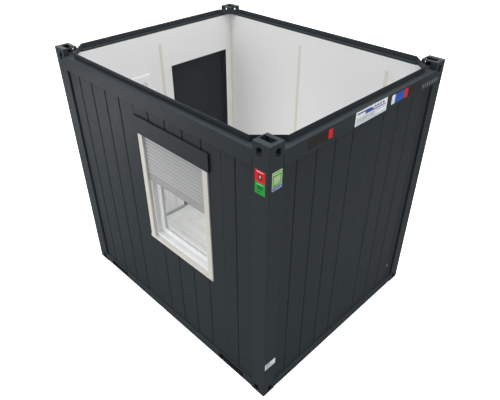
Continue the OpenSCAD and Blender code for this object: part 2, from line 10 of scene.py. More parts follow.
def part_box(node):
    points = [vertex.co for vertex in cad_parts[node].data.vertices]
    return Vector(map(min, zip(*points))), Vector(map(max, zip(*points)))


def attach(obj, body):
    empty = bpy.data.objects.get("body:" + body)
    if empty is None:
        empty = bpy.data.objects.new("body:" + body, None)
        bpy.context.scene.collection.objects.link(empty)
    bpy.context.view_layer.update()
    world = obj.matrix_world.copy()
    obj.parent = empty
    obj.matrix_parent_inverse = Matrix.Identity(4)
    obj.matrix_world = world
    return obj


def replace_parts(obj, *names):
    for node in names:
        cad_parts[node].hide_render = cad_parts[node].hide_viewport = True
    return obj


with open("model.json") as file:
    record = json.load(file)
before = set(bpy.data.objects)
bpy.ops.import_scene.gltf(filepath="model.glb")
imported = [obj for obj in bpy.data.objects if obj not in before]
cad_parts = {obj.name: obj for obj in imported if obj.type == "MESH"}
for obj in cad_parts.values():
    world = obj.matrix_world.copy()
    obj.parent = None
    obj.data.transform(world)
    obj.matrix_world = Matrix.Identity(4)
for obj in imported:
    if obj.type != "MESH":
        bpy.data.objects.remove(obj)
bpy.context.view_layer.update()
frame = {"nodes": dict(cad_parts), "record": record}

# ---- The cabin's own sizes, read from the frame ----
POST_LO, POST_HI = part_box("corner_posts")
HALF_LENGTH = POST_HI.x
HALF_WIDTH = POST_HI.y
LENGTH = 2 * HALF_LENGTH
WIDTH = 2 * HALF_WIDTH


# ---- Wall frames: x from the left end seen from outside, depth inward, z up ----
def on_front(x, depth, z):
    return Vector((-HALF_LENGTH + x, -HALF_WIDTH + depth, z))


def on_back(x, depth, z):
    return Vector((HALF_LENGTH - x, HALF_WIDTH - depth, z))


def on_right(x, depth, z):
    return Vector((HALF_LENGTH - depth, -HALF_WIDTH + x, z))


def on_left(x, depth, z):
    return Vector((-HALF_LENGTH + depth, HALF_WIDTH - x, z))


Extent = namedtuple("Extent", "x0 x1 near far low high")


def front_extent(node):
    """A node's reach in the front wall's frame."""
    lo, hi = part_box(node)
    return Extent(lo.x + HALF_LENGTH, hi.x + HALF_LENGTH, lo.y + HALF_WIDTH, hi.y + HALF_WIDTH,
                  lo.z, hi.z)


def left_extent(node):
    """A node's reach in the left wall's frame."""
    lo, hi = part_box(node)
    return Extent(HALF_WIDTH - hi.y, HALF_WIDTH - lo.y, lo.x + HALF_LENGTH, hi.x + HALF_LENGTH,
                  lo.z, hi.z)


# ---- Shutter rows: whole slats over finer ones where the curtain is closed ----
PITCH = 0.0395
FINE_SHARE = 1 / 3
FINE_COUNT = 5
FINE_HEIGHT = FINE_COUNT * PITCH * FINE_SHARE
SLAT_ROWS = (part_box("shutter_curtain")[0].z + FINE_HEIGHT, PITCH, PITCH * FINE_SHARE)


# ---- Finishes ----
class Finish:
    """A node material. Every pattern reads Object coordinates."""

    def __init__(self, name, rough=0.5, metal=0.0, **shader):
        self.material = bpy.data.materials.new(name)
        self.material.use_nodes = True
        self.tree = self.material.node_tree
        self.shader = self.tree.nodes["Principled BSDF"]
        self.set("Roughness", rough)
        self.set("Metallic", metal)
        for socket, value in shader.items():
            self.set(socket.replace("_", " "), value)
        self.place = self.tree.nodes.new("ShaderNodeTexCoord").outputs["Object"]
        self.normal = None

    def set(self, socket, value):
        self.shader.inputs[socket].default_value = value

    def link(self, source, target):
        self.tree.links.new(source, target)

    def made(self, kind, inputs, **settings):
        """Adds a node; each input, by name or number, is a socket to link or a value to set."""
        node = self.tree.nodes.new(kind)
        for key, value in settings.items():
            setattr(node, key, value)
        for label, value in inputs.items():
            socket = node.inputs[label]
            if isinstance(value, bpy.types.NodeSocket):
                self.link(value, socket)
            else:
                socket.default_value = (*value, 1) if socket.type == "RGBA" else value
        return node

    def noise(self, scale, detail=3.0, stretch=(1, 1, 1), warp=0.0):
        mapping = self.made("ShaderNodeMapping", {"Vector": self.place, "Scale": stretch})
        return self.made("ShaderNodeTexNoise", {
            "Vector": mapping.outputs["Vector"], "Scale": scale, "Detail": detail,
            "Distortion": warp,
        }).outputs["Fac"]

    def span(self, value, low, high, out_low=0.0, out_high=1.0):
        return self.made("ShaderNodeMapRange", {
            "Value": value, "From Min": low, "From Max": high,
            "To Min": out_low, "To Max": out_high,
        }, interpolation_type="SMOOTHSTEP").outputs["Result"]

    def times(self, a, b, operation="MULTIPLY"):
        return self.made("ShaderNodeMath", {0: a, 1: b}, operation=operation).outputs["Value"]

    def height(self):
        return self.made("ShaderNodeSeparateXYZ", {"Vector": self.place}).outputs["Z"]

    def eased_edge(self):
        return self.made("ShaderNodeAttribute", {}, attribute_name="eased").outputs["Fac"]

    def mixed(self, amount, first, second):
        inputs = {0: amount, 6: first, 7: second}
        return self.made("ShaderNodeMix", inputs, data_type="RGBA").outputs[2]

    def colour(self, source):
        self.link(source, self.shader.inputs["Base Color"])

    def roughness(self, source):
        self.link(source, self.shader.inputs["Roughness"])

    def bump(self, height, distance, strength=1.0):
        node = self.made("ShaderNodeBump", {
            "Height": height, "Distance": distance, "Strength": strength,
        })
        if self.normal is not None:
            self.link(self.normal, node.inputs["Normal"])
        self.normal = node.outputs["Normal"]
        self.link(self.normal, self.shader.inputs["Normal"])


def shade(colour, factor):
    return tuple(min(1.0, c * factor) for c in colour)


DUST = (0.080, 0.080, 0.075)


def painted(name, colour, rough=0.50, peel=1.0, grime=0.025, splash=0.35, edge_wear_and_highlight=0.5, waves=0.0):
    """Sprayed coat on steel: orange peel, rain marks, splashes low down, and eased edges lightened
    both as rubbed wear and as a painted highlight.
    """
    f = Finish(name)
    f.set("Specular IOR Level", 0.10)
    broad = f.span(f.noise(0.9, 3), 0.3, 0.7)
    body = f.mixed(broad, shade(colour, 0.97), shade(colour, 1.03))
    fine = f.span(f.noise(55, 4), 0.35, 0.65)
    body = f.mixed(f.times(fine, 0.07), body, shade(colour, 0.80))
    rain = f.span(f.noise(11, 5, (1, 1, 0.05)), 0.52, 0.80, 0.0, grime)
    body = f.mixed(rain, body, DUST)
    low = f.span(f.height(), 0.02, splash, 1.0, 0.0)
    spots = f.span(f.noise(70, 5), 0.50, 0.62)
    body = f.mixed(f.times(f.times(low, spots), 0.22), body, DUST)
    # Eased edges lightened to 1.8 times the coat colour: partly rubbed wear, partly a painted
    # highlight for the light line that edges catch.
    worn_and_highlit_edge = f.times(f.eased_edge(), f.span(f.noise(24, 4), 0.42, 0.66, 0.15, edge_wear_and_highlight))
    body = f.mixed(worn_and_highlit_edge, body, shade(colour, 1.8))
    f.colour(body)
    f.roughness(f.span(f.noise(18, 4), 0.25, 0.75, rough - 0.03, rough + 0.05))
    if waves:
        f.bump(f.noise(2.2, 2, (1, 1, 0.5)), waves)
    f.bump(f.noise(330, 1), 0.00025 * peel, 0.5)
    return f.material


def moulded(name, colour, rough=0.35, soil=0.10, rows=None):
    """Moulded or extruded plastic with a fine skin and a little soil; where rows are given,
    painted shade darkens the lower part of every slat.
    """
    f = Finish(name)
    f.set("Specular IOR Level", 0.30)
    broad = f.span(f.noise(2.1, 3), 0.3, 0.7)
    body = f.mixed(broad, shade(colour, 0.98), shade(colour, 1.01))
    soiled = f.span(f.noise(13, 5, (1, 1, 0.25)), 0.55, 0.85, 0.0, soil)
    body = f.mixed(soiled, body, shade(colour, 0.72))
    # Painted shade: the lower part of each slat row, coarse and fine, is darkened towards half the
    # colour as the shadow line between slats.
    if rows:
        start, pitch, fine_pitch = rows
        above = f.times(f.height(), start, "SUBTRACT")
        coarse = f.times(f.times(above, pitch, "DIVIDE"), 1.0, "FLOORED_MODULO")
        fine = f.times(f.times(above, fine_pitch, "DIVIDE"), 1.0, "FLOORED_MODULO")
        is_coarse = f.times(above, 0.0, "GREATER_THAN")
        shadow = f.times(f.span(coarse, 0.0, 0.42, 1.0, 0.0), is_coarse)
        close = f.times(f.span(fine, 0.0, 0.55, 1.0, 0.0), f.times(1.0, is_coarse, "SUBTRACT"))
        body = f.mixed(f.times(shadow, close, "ADD"), body, shade(colour, 0.50))
    body = f.mixed(f.times(f.eased_edge(), 0.35), body, shade(colour, 1.06))
    f.colour(body)
    f.roughness(f.span(f.noise(22, 3), 0.3, 0.7, rough - 0.02, rough + 0.04))
    f.bump(f.noise(260, 2), 0.00008, 0.5)
    return f.material


def coated_board(name, colour, joint_shade=0.9):
    """Wall board under a matt film: faint fibre, slight clouding, soft scuffs low down."""
    f = Finish(name, Specular_IOR_Level=0.3)
    broad = f.span(f.noise(0.7, 3), 0.3, 0.7)
    body = f.mixed(broad, shade(colour, 0.975), shade(colour, 1.01))
    fibre = f.span(f.noise(95, 3, (1, 1, 0.08)), 0.42, 0.70)
    body = f.mixed(f.times(fibre, 0.05), body, shade(colour, 0.86))
    low = f.span(f.height(), 0.15, 0.75, 1.0, 0.0)
    scuff = f.span(f.noise(7, 6, (1, 1, 0.3)), 0.56, 0.70)
    body = f.mixed(f.times(f.times(low, scuff), 0.25), body, shade(colour, 0.62))
    body = f.mixed(f.times(f.eased_edge(), 0.4), body, shade(colour, joint_shade))
    f.colour(body)
    f.roughness(f.span(f.noise(16, 3), 0.3, 0.7, 0.46, 0.62))
    f.bump(f.noise(95, 3, (1, 1, 0.08)), 0.00006, 0.6)
    f.bump(f.noise(1.6, 2), 0.0003, 0.5)
    return f.material


def plank_vinyl(name):
    """Sheet vinyl printed as planks that run along the room, with brown streaks."""
    f = Finish(name, Specular_IOR_Level=0.45)
    pale, dark, brown = (0.64, 0.65, 0.64), (0.53, 0.54, 0.535), (0.40, 0.31, 0.22)
    planks = f.made("ShaderNodeTexBrick", {
        "Vector": f.place, "Color1": pale, "Color2": dark, "Mortar": (0.26, 0.26, 0.25),
        "Scale": 1.0, "Mortar Size": 0.0016, "Mortar Smooth": 0.2, "Bias": -0.1,
        "Brick Width": 1.25, "Row Height": 0.185,
    }, offset=0.37, offset_frequency=2)
    streak = f.span(f.noise(9, 6, (0.22, 3.6, 1), 0.6), 0.50, 0.74, 0.0, 0.50)
    body = f.mixed(streak, planks.outputs["Color"], brown)
    vein = f.span(f.noise(30, 4, (0.12, 3.0, 1), 0.4), 0.45, 0.65, 0.0, 0.25)
    body = f.mixed(vein, body, pale)
    f.colour(body)
    f.roughness(f.span(f.noise(6, 4), 0.3, 0.7, 0.26, 0.44))
    f.bump(planks.outputs["Fac"], 0.0004, 0.6)
    f.bump(f.noise(42, 4, (0.1, 3.2, 1)), 0.00012, 0.6)
    return f.material


def bare_metal(name, colour, rough, brush=(1, 1, 0.04), stain=0.2):
    """Brushed or drawn metal with fine lines and dull patches."""
    f = Finish(name, metal=1.0)
    lines = f.noise(140, 3, brush)
    body = f.mixed(f.span(lines, 0.3, 0.7), shade(colour, 0.86), shade(colour, 1.06))
    patch = f.span(f.noise(20, 4), 0.5, 0.72, 0.0, stain)
    body = f.mixed(patch, body, shade(colour, 0.55))
    body = f.mixed(f.times(f.eased_edge(), 0.3), body, shade(colour, 1.25))
    f.colour(body)
    f.roughness(f.span(f.noise(30, 3), 0.3, 0.7, rough - 0.08, rough + 0.12))
    f.bump(lines, 0.00008, 0.6)
    return f.material


def glass_pane(name):
    f = Finish(name, rough=0.02, Transmission_Weight=1.0, IOR=1.46)
    haze = f.span(f.noise(3.5, 4), 0.45, 0.75)
    f.colour(f.mixed(haze, (0.975, 0.985, 0.98), (0.945, 0.96, 0.955)))
    f.roughness(f.span(f.noise(9, 4), 0.5, 0.8, 0.0, 0.02))
    f.bump(f.noise(0.8, 1), 0.00005, 0.2)
    return f.material


def printed(name, colour, rough=0.38, fade=0.12):
    """Printed film: slightly faded, with small scratches."""
    f = Finish(name, Specular_IOR_Level=0.12)
    broad = f.span(f.noise(17, 3), 0.3, 0.7)
    body = f.mixed(broad, shade(colour, 1 - fade), shade(colour, 1.04))
    scratch = f.span(f.noise(120, 3, (1, 1, 0.3)), 0.66, 0.78, 0.0, 0.12)
    body = f.mixed(scratch, body, (0.35, 0.35, 0.34))
    f.colour(body)
    f.roughness(f.span(f.noise(60, 3), 0.3, 0.7, rough - 0.06, rough + 0.1))
    f.bump(f.noise(180, 2), 0.00006, 0.5)
    return f.material


def timber_ply(name):
    f = Finish(name)
    light, dark = (0.42, 0.30, 0.19), (0.26, 0.17, 0.10)
    grain = f.noise(6, 6, (0.25, 5.0, 5.0), 0.5)
    f.colour(f.mixed(f.span(grain, 0.35, 0.68), light, dark))
    f.roughness(f.span(f.noise(20, 3), 0.3, 0.7, 0.55, 0.75))
    f.bump(grain, 0.0006, 0.6)
    return f.material


def rubber(name, colour=(0.018, 0.018, 0.019)):
    f = Finish(name, Specular_IOR_Level=0.3)
    f.colour(f.mixed(f.span(f.noise(35, 4), 0.4, 0.7), colour, shade(colour, 1.9)))
    f.roughness(f.span(f.noise(50, 3), 0.3, 0.7, 0.62, 0.8))
    f.bump(f.noise(210, 2), 0.0001, 0.5)
    return f.material


ANTHRACITE = (0.0302, 0.0374, 0.0420)
FINISHES = {
    "frame_paint": painted("anthracite_frame_coat", ANTHRACITE),
    "cladding_paint": painted("anthracite_sheet_coat", shade(ANTHRACITE, 0.92), waves=0.0005),
    "casting_steel": painted(
        "anthracite_casting_coat", shade(ANTHRACITE, 0.95), rough=0.48, peel=2.0, edge_wear_and_highlight=0.8
    ),
    "white_board": coated_board("white_wall_board", (0.750, 0.750, 0.745)),
    "beige_strip": moulded("beige_joint_strip", (0.66, 0.63, 0.56), 0.45, 0.06),
    "floor_vinyl": plank_vinyl("plank_print_vinyl"),
    "floor_board": timber_ply("floor_ply"),
    "grey_skirting": moulded("grey_skirting_plastic", (0.30, 0.32, 0.32), 0.40, 0.15),
    "cream_plastic": moulded("cream_coat", (0.64, 0.62, 0.565), 0.45, 0.03),
    "white_plastic": moulded("white_window_plastic", (0.78, 0.785, 0.79), 0.40, 0.04),
    "shutter_slats": moulded("pale_grey_slats", (0.41, 0.41, 0.415), 0.45, 0.05, rows=SLAT_ROWS),
    "clear_glass": glass_pane("clear_pane"),
    "door_paint": painted(
        "dark_door_coat", (0.0230, 0.0275, 0.0310), rough=0.45, grime=0.05, splash=0.3, edge_wear_and_highlight=0.35
    ),
    "hinge_steel": bare_metal("zinc_hinge_steel", (0.52, 0.53, 0.54), 0.36),
    "handle_metal": bare_metal("drawn_aluminium", (0.62, 0.63, 0.64), 0.30, stain=0.08),
}
SLOT_OF = {part["node"]: part["material_slot"] for part in frame["record"]["subparts"]}
BODY_OF = {
    node: body for body, nodes in frame["record"]["behaviour"]["bodies"].items() for node in nodes
}


# ---- Pieces ----
SHARP_ANGLE, OUTLINE_ANGLE, FLAT_ANGLE = 24.0, 40.0, 0.6  # degrees
DOUBLES_GAP, JOINED_GAP = 0.00002, 0.00005
ROOM_FOR_EASING = 2.4  # widths


def blank():
    """An empty mesh with the layer that marks its eased faces."""
    mesh = bmesh.new()
    mesh.faces.layers.float.new("eased")
    return mesh


def as_data(mesh, name):
    data = bpy.data.meshes.new(name)
    mesh.to_mesh(data)
    mesh.free()
    return data


def put(name, data):
    holder = bpy.data.objects.new(name, data)
    bpy.context.scene.collection.objects.link(holder)
    return holder


def evaluated(holder):
    """The mesh that an object's modifiers make."""
    bpy.context.view_layer.update()
    seen = holder.evaluated_get(bpy.context.evaluated_depsgraph_get())
    return bpy.data.meshes.new_from_object(seen)


def merged(data, gap=DOUBLES_GAP):
    mesh = bmesh.new()
    mesh.from_mesh(data)
    bmesh.ops.remove_doubles(mesh, verts=mesh.verts, dist=gap)
    return mesh


def flattened(mesh):
    """The mesh with the flat faces the CAD split made whole again."""
    bmesh.ops.dissolve_limit(
        mesh, angle_limit=math.radians(FLAT_ANGLE), use_dissolve_boundaries=False,
        verts=mesh.verts, edges=mesh.edges,
    )
    return mesh


def bridge(mesh, first, second):
    """Faces between two loops of as many vertices."""
    for i in range(len(first)):
        j = (i + 1) % len(first)
        mesh.faces.new((first[i], first[j], second[j], second[i]))


def ease_edges(mesh, width, sharpest=SHARP_ANGLE, segments=2):
    """Rounds the sharp edges of a closed mesh and marks the new faces: roomy edges first."""
    layer = mesh.faces.layers.float.get("eased") or mesh.faces.layers.float.new("eased")
    limit = math.radians(sharpest)
    room = ROOM_FOR_EASING * width
    for tight in (False, True):
        sharp = []
        for edge in mesh.edges:
            if len(edge.link_faces) != 2 or edge.calc_face_angle(0.0) <= limit:
                continue
            if any(face[layer] > 0.5 for face in edge.link_faces):
                continue
            shortest = min(near.calc_length() for vert in edge.verts for near in vert.link_edges)
            if tight or shortest > room:
                sharp.append(edge)
        if sharp and width > 0:
            made = bmesh.ops.bevel(
                mesh, geom=sharp, offset=width, offset_type="OFFSET", segments=segments,
                profile=0.6, affect="EDGES", clamp_overlap=True, loop_slide=True,
            )
            for face in made["faces"]:
                face[layer] = 1.0


def finish_piece(mesh, name, slot, body, material=None):
    """Turns a bmesh into a finished object that rides on its body."""
    data = as_data(mesh, name)
    data.materials.append(material or FINISHES[slot])
    piece = put(name, data)
    data.shade_smooth()
    normals = piece.modifiers.new("even_normals", "WEIGHTED_NORMAL")
    normals.keep_sharp = True
    normals.weight = 90
    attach(piece, body)
    return piece


def eased_copy(node, width):
    """A CAD node's own shape with its doubles merged and its edges eased."""
    mesh = flattened(merged(frame["nodes"][node].data))
    ease_edges(mesh, width)
    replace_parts(finish_piece(mesh, node + "_shape", SLOT_OF[node], BODY_OF[node]), node)


def welded(name, width, nodes):
    """Nodes that are welded together, made one closed shape before its edges are eased."""
    copies = []
    for node in nodes:
        mesh = merged(frame["nodes"][node].data)
        copies.append(put(node + "_copy", as_data(mesh, node + "_copy")))
    for copy in copies[1:]:
        union = copies[0].modifiers.new("join", "BOOLEAN")
        union.operation = "UNION"
        union.solver = "EXACT"
        union.object = copy
    joined = evaluated(copies[0])
    for copy in copies:
        bpy.data.objects.remove(copy)
    mesh = flattened(merged(joined, JOINED_GAP))
    ease_edges(mesh, width)
    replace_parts(finish_piece(mesh, name, SLOT_OF[nodes[0]], BODY_OF[nodes[0]]), *nodes)


class Shape:
    """Gathers solids, in a wall's frame, into one piece."""

    def __init__(self, wall):
        self.mesh = blank()
        self.wall = wall

    def join(self, part):
        """Adds a bmesh whose points are already in the room frame."""
        bmesh.ops.recalc_face_normals(part, faces=part.faces)
        data = as_data(part, "part")
        self.mesh.from_mesh(data)
        bpy.data.meshes.remove(data)

    def block(self, x0, x1, depth0, depth1, z0, z1, ease=0.0008, segments=2):
        mesh = blank()
        corners = [
            mesh.verts.new(self.wall(x, depth, z))
            for x in (x0, x1) for depth in (depth0, depth1) for z in (z0, z1)
        ]
        for loop in (
            (0, 1, 3, 2), (4, 6, 7, 5), (0, 4, 5, 1), (2, 3, 7, 6), (0, 2, 6, 4), (1, 5, 7, 3)
        ):
            mesh.faces.new([corners[i] for i in loop])
        bmesh.ops.recalc_face_normals(mesh, faces=mesh.faces)
        ease_edges(mesh, ease, segments=segments)
        self.join(mesh)

    def outline(self, points, depth0, depth1, ease=0.0004):
        """A flat shape of (x, z) points, from one depth to another."""
        mesh = blank()
        near = [mesh.verts.new(self.wall(x, depth0, z)) for x, z in points]
        far = [mesh.verts.new(self.wall(x, depth1, z)) for x, z in points]
        mesh.faces.new(near)
        mesh.faces.new(far[::-1])
        bridge(mesh, near, far)
        bmesh.ops.recalc_face_normals(mesh, faces=mesh.faces)
        ease_edges(mesh, ease, OUTLINE_ANGLE, 1)
        self.join(mesh)

    def card(self, x0, x1, z0, z1, depth0, depth1, corner=0.006, ease=0.0003):
        """A plate with rounded corners."""
        points = []
        for cx, cz, start in (
            (x1 - corner, z1 - corner, 0), (x0 + corner, z1 - corner, 90),
            (x0 + corner, z0 + corner, 180), (x1 - corner, z0 + corner, 270),
        ):
            for step in range(5):
                angle = math.radians(start + 22.5 * step)
                points.append((cx + corner * math.cos(angle), cz + corner * math.sin(angle)))
        self.outline(points, depth0, depth1, ease)

    def mitred(self, x0, x1, z0, z1, section, widths=(1, 1, 1, 1)):
        """A closed mitred frame of (inward, depth) points; widths scale its four sides."""
        mesh = blank()
        loops = []
        left, right, low, high = widths
        for cx, cz, sx, sz in (
            (x0, z0, left, low), (x1, z0, -right, low),
            (x1, z1, -right, -high), (x0, z1, left, -high),
        ):
            loops.append([
                mesh.verts.new(self.wall(cx + sx * inward, depth, cz + sz * inward))
                for inward, depth in section
            ])
        for first, second in zip(loops, loops[1:] + loops[:1]):
            bridge(mesh, first, second)
        bmesh.ops.recalc_face_normals(mesh, faces=mesh.faces)
        self.join(mesh)

    def turned(self, centre, axis, profile, sides=24):
        """A solid of revolution: profile of (along, radius) points on an axis from centre."""
        mesh = blank()
        axis = axis.normalized()
        side = axis.orthogonal().normalized()
        other = axis.cross(side)
        rings = []
        for along, radius in profile:
            if radius < 1e-6:
                rings.append([mesh.verts.new(centre + axis * along)])
                continue
            ring = []
            for i in range(sides):
                angle = math.tau * i / sides
                around = side * math.cos(angle) + other * math.sin(angle)
                ring.append(mesh.verts.new(centre + axis * along + around * radius))
            rings.append(ring)
        for first, second in zip(rings, rings[1:]):
            for i in range(sides):
                j = (i + 1) % sides
                corners = [first[k % len(first)] for k in (i, j)]
                corners += [second[k % len(second)] for k in (j, i)]
                kept = list(dict.fromkeys(corners))
                if len(kept) > 2:
                    mesh.faces.new(kept)
        self.join(mesh)

    def done(self, name, slot, body="cabin", material=None):
        return finish_piece(self.mesh, name, slot, body, material)


# ---- The frame's own shapes, with eased edges ----
EASE_BY_KIND = (("rail", 0.0020), ("panel", 0.0022), ("lining", 0.0008))
EASE = {
    "corner_gussets": 0.0008, "upstands": 0.0008,
    "fork_pockets": 0.0015, "floor_beams": 0.0015, "floor_deck": 0.001, "floor_covering": 0.0005,
    "skirting": 0.0015, "joint_strips": 0.0008, "corner_covers": 0.0008, "window_sill": 0.0012,
    "shutter_guides": 0.0012, "shutter_box": 0.0040, "window_frame": 0.0016,
    "window_sash": 0.0018, "window_glass": 0.0004, "door_threshold": 0.0012,
    "door_hinges": 0.0012, "door_leaf": 0.0016, "leaf_hinges": 0.0010, "door_handles": 0.0010,
    "cable_duct": 0.0016,
}
WELDED = {
    "welded_frame": (0.0020, (
        "corner_posts", "casting_cups", "top_castings", "casting_lids", "bottom_castings",
        "top_rail_front", "top_rail_back", "top_rail_left", "top_rail_right",
    )),
    "welded_door_frame": (0.0014, ("door_frame", "door_stops", "door_trim")),
}
remade = {"shutter_curtain", "distribution_box"}
for name, (width, nodes) in WELDED.items():
    welded(name, width, nodes)
    remade.update(nodes)
for node in frame["nodes"]:
    if node not in remade:
        widths = [width for kind, width in EASE_BY_KIND if kind in node]
        eased_copy(node, widths[0] if widths else EASE[node])


# ---- Node trees for what repeats ----
def new_tree(name, inputs):
    """A geometry tree with a mesh in, a mesh out and named inputs."""
    tree = bpy.data.node_groups.new(name, "GeometryNodeTree")
    tree.interface.new_socket("Mesh", in_out="INPUT", socket_type="NodeSocketGeometry")
    for label, kind, value in inputs:
        socket = tree.interface.new_socket(label, in_out="INPUT", socket_type="NodeSocket" + kind)
        if value is not None:
            socket.default_value = value
    tree.interface.new_socket("Mesh", in_out="OUTPUT", socket_type="NodeSocketGeometry")
    return tree, tree.nodes.new("NodeGroupInput"), tree.nodes.new("NodeGroupOutput")


def add_node(tree, kind, settings=None, **sources):
    """Adds a node; each source is a socket to link or a value to set."""
    node = tree.nodes.new(kind)
    for key, value in (settings or {}).items():
        setattr(node, key, value)
    for label, source in sources.items():
        socket = node.inputs[label.replace("_", " ")]
        if isinstance(source, bpy.types.NodeSocket):
            tree.links.new(source, socket)
        else:
            socket.default_value = source
    return node


def close_tree(tree, out, geometry, material_socket):
    real = add_node(tree, "GeometryNodeRealizeInstances", Geometry=geometry)
    painted_mesh = add_node(
        tree, "GeometryNodeSetMaterial",
        Geometry=real.outputs["Geometry"], Material=material_socket,
    )
    tree.links.new(painted_mesh.outputs["Geometry"], out.inputs["Mesh"])


def head_tree():
    """A domed head on a washer at every vertex, turned to its 'outward' attribute."""
    tree, given, out = new_tree("domed_heads", (
        ("Radius", "Float", 0.004), ("Height", "Float", 0.002),
        ("Washer", "Float", 0.006), ("Sides", "Int", 10),
        ("Finish", "Material", None),
    ))
    outward = add_node(
        tree, "GeometryNodeInputNamedAttribute", {"data_type": "FLOAT_VECTOR"}, Name="outward"
    )
    turn = add_node(
        tree, "FunctionNodeAlignRotationToVector", {"axis": "Z"},
        Vector=outward.outputs["Attribute"],
    )
    ball = add_node(
        tree, "GeometryNodeMeshUVSphere", Segments=given.outputs["Sides"], Rings=6, Radius=1.0
    )
    size = add_node(
        tree, "ShaderNodeCombineXYZ",
        X=given.outputs["Radius"], Y=given.outputs["Radius"], Z=given.outputs["Height"],
    )
    dome = add_node(
        tree, "GeometryNodeTransform", Geometry=ball.outputs["Mesh"], Scale=size.outputs["Vector"]
    )
    washer = add_node(
        tree, "GeometryNodeMeshCylinder", Vertices=given.outputs["Sides"],
        Radius=given.outputs["Washer"], Depth=0.0012,
    )
    both = tree.nodes.new("GeometryNodeJoinGeometry")
    tree.links.new(dome.outputs["Geometry"], both.inputs[0])
    tree.links.new(washer.outputs["Mesh"], both.inputs[0])
    placed = add_node(
        tree, "GeometryNodeInstanceOnPoints", Points=given.outputs["Mesh"],
        Instance=both.outputs["Geometry"], Rotation=turn.outputs["Rotation"],
    )
    close_tree(tree, out, placed.outputs["Instances"], given.outputs["Finish"])
    return tree


def bead_tree():
    """Overlapping lens-shaped ripples of a weld, a little uneven, at every vertex."""
    tree, given, out = new_tree("weld_beads", (
        ("Radius", "Float", 0.003), ("Unevenness", "Float", 0.2),
        ("Seed", "Int", 7), ("Finish", "Material", None),
    ))
    ball = add_node(
        tree, "GeometryNodeMeshUVSphere", Segments=8, Rings=5, Radius=given.outputs["Radius"]
    )
    least = add_node(tree, "ShaderNodeMath", {"operation": "SUBTRACT"})
    least.inputs[0].default_value = 1.0
    tree.links.new(given.outputs["Unevenness"], least.inputs[1])
    spread = add_node(
        tree, "FunctionNodeRandomValue", {"data_type": "FLOAT"},
        Seed=given.outputs["Seed"],
    )
    low, high = [s for s in spread.inputs if s.type == "VALUE"][:2]
    tree.links.new(least.outputs["Value"], low)
    high.default_value = 1.1
    value = next(s for s in spread.outputs if s.type == "VALUE")
    placed = add_node(
        tree, "GeometryNodeInstanceOnPoints", Points=given.outputs["Mesh"],
        Instance=ball.outputs["Mesh"], Scale=value,
    )
    close_tree(tree, out, placed.outputs["Instances"], given.outputs["Finish"])
    return tree


def slat_tree():
    """The given slat repeated upward, over finer rows where the curtain is closed."""
    tree, given, out = new_tree("slat_rows", (
        ("Pitch", "Float", 0.04), ("Count", "Int", 10),
        ("Fine Pitch", "Float", 0.013), ("Fine Count", "Int", 5),
        ("Fine Start", "Vector", (0, 0, 0)), ("Finish", "Material", None),
    ))
    both = tree.nodes.new("GeometryNodeJoinGeometry")
    for pitch, count, fine in (("Pitch", "Count", False), ("Fine Pitch", "Fine Count", True)):
        step = add_node(tree, "ShaderNodeCombineXYZ", Z=given.outputs[pitch])
        row = add_node(
            tree, "GeometryNodeMeshLine", {"mode": "OFFSET"},
            Count=given.outputs[count], Offset=step.outputs["Vector"],
        )
        if fine:
            tree.links.new(given.outputs["Fine Start"], row.inputs["Start Location"])
        ratio = add_node(tree, "ShaderNodeMath", {"operation": "DIVIDE"})
        tree.links.new(given.outputs[pitch], ratio.inputs[0])
        tree.links.new(given.outputs["Pitch"], ratio.inputs[1])
        size = add_node(tree, "ShaderNodeCombineXYZ", X=1.0, Y=1.0, Z=ratio.outputs["Value"])
        placed = add_node(
            tree, "GeometryNodeInstanceOnPoints", Points=row.outputs["Mesh"],
            Instance=given.outputs["Mesh"], Scale=size.outputs["Vector"],
        )
        tree.links.new(placed.outputs["Instances"], both.inputs[0])
    close_tree(tree, out, both.outputs["Geometry"], given.outputs["Finish"])
    return tree


def grown(source, tree, name, slot, body, smooth=True, at=None, **values):
    """Runs a tree on a mesh and leaves the result as a plain mesh piece."""
    holder = put(name + "_source", source)
    modifier = holder.modifiers.new(name, "NODES")
    modifier.node_group = tree
    values["Finish"] = FINISHES[slot]
    for item in tree.interface.items_tree:
        if item.in_out == "INPUT" and item.name.replace(" ", "_") in values:
            modifier[item.identifier] = values[item.name.replace(" ", "_")]
    result = evaluated(holder)
    bpy.data.objects.remove(holder)
    result.name = name
    if at is not None:
        result.transform(Matrix.Translation(at))
    if smooth:
        result.shade_smooth()
    piece = put(name, result)
    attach(piece, body)
    return piece


def points_mesh(name, places):
    """Loose vertices with an 'outward' direction each, for a tree to build on."""
    mesh = bpy.data.meshes.new(name)
    mesh.from_pydata([tuple(place) for place, outward in places], [], [])
    layer = mesh.attributes.new("outward", "FLOAT_VECTOR", "POINT")
    layer.data.foreach_set("vector", [c for place, outward in places for c in outward])
    return mesh


WALLS = {
    "front": (on_front, Vector((0, -1, 0)), LENGTH), "back": (on_back, Vector((0, 1, 0)), LENGTH),
    "right": (on_right, Vector((1, 0, 0)), WIDTH), "left": (on_left, Vector((-1, 0, 0)), WIDTH),
}
HEADS = head_tree()

# Blind rivets that hold the cladding to the rails, between the grooves.
CLAD_DEPTH = 0.021
RIVET_HEIGHTS = (0.138, 2.559)
RIVET_PLACES = {
    "front": (0.245, 0.478, 0.714, 0.951, 1.183, 1.4105, 1.643, 1.879, 2.116, 2.348, 2.543, 2.725),
    "right": (0.200, 0.432, 0.669, 0.905, 1.137, 1.365, 1.597, 1.834, 2.070, 2.235),
    "back": (0.290, 0.453, 0.653, 0.885, 1.122, 1.358, 1.590, 1.818, 2.050, 2.287, 2.523, 2.755),
    "left": (1.150, 1.336, 1.568, 1.805, 2.041, 2.235),
}
rivets = [
    (WALLS[side][0](x, CLAD_DEPTH, z), WALLS[side][1])
    for side, places in RIVET_PLACES.items() for z in RIVET_HEIGHTS for x in places
]
grown(points_mesh("rivet_places", rivets), HEADS, "cladding_rivets", "cladding_paint", "cabin",
      Radius=0.0042, Height=0.0022, Washer=0.0065, Sides=12)

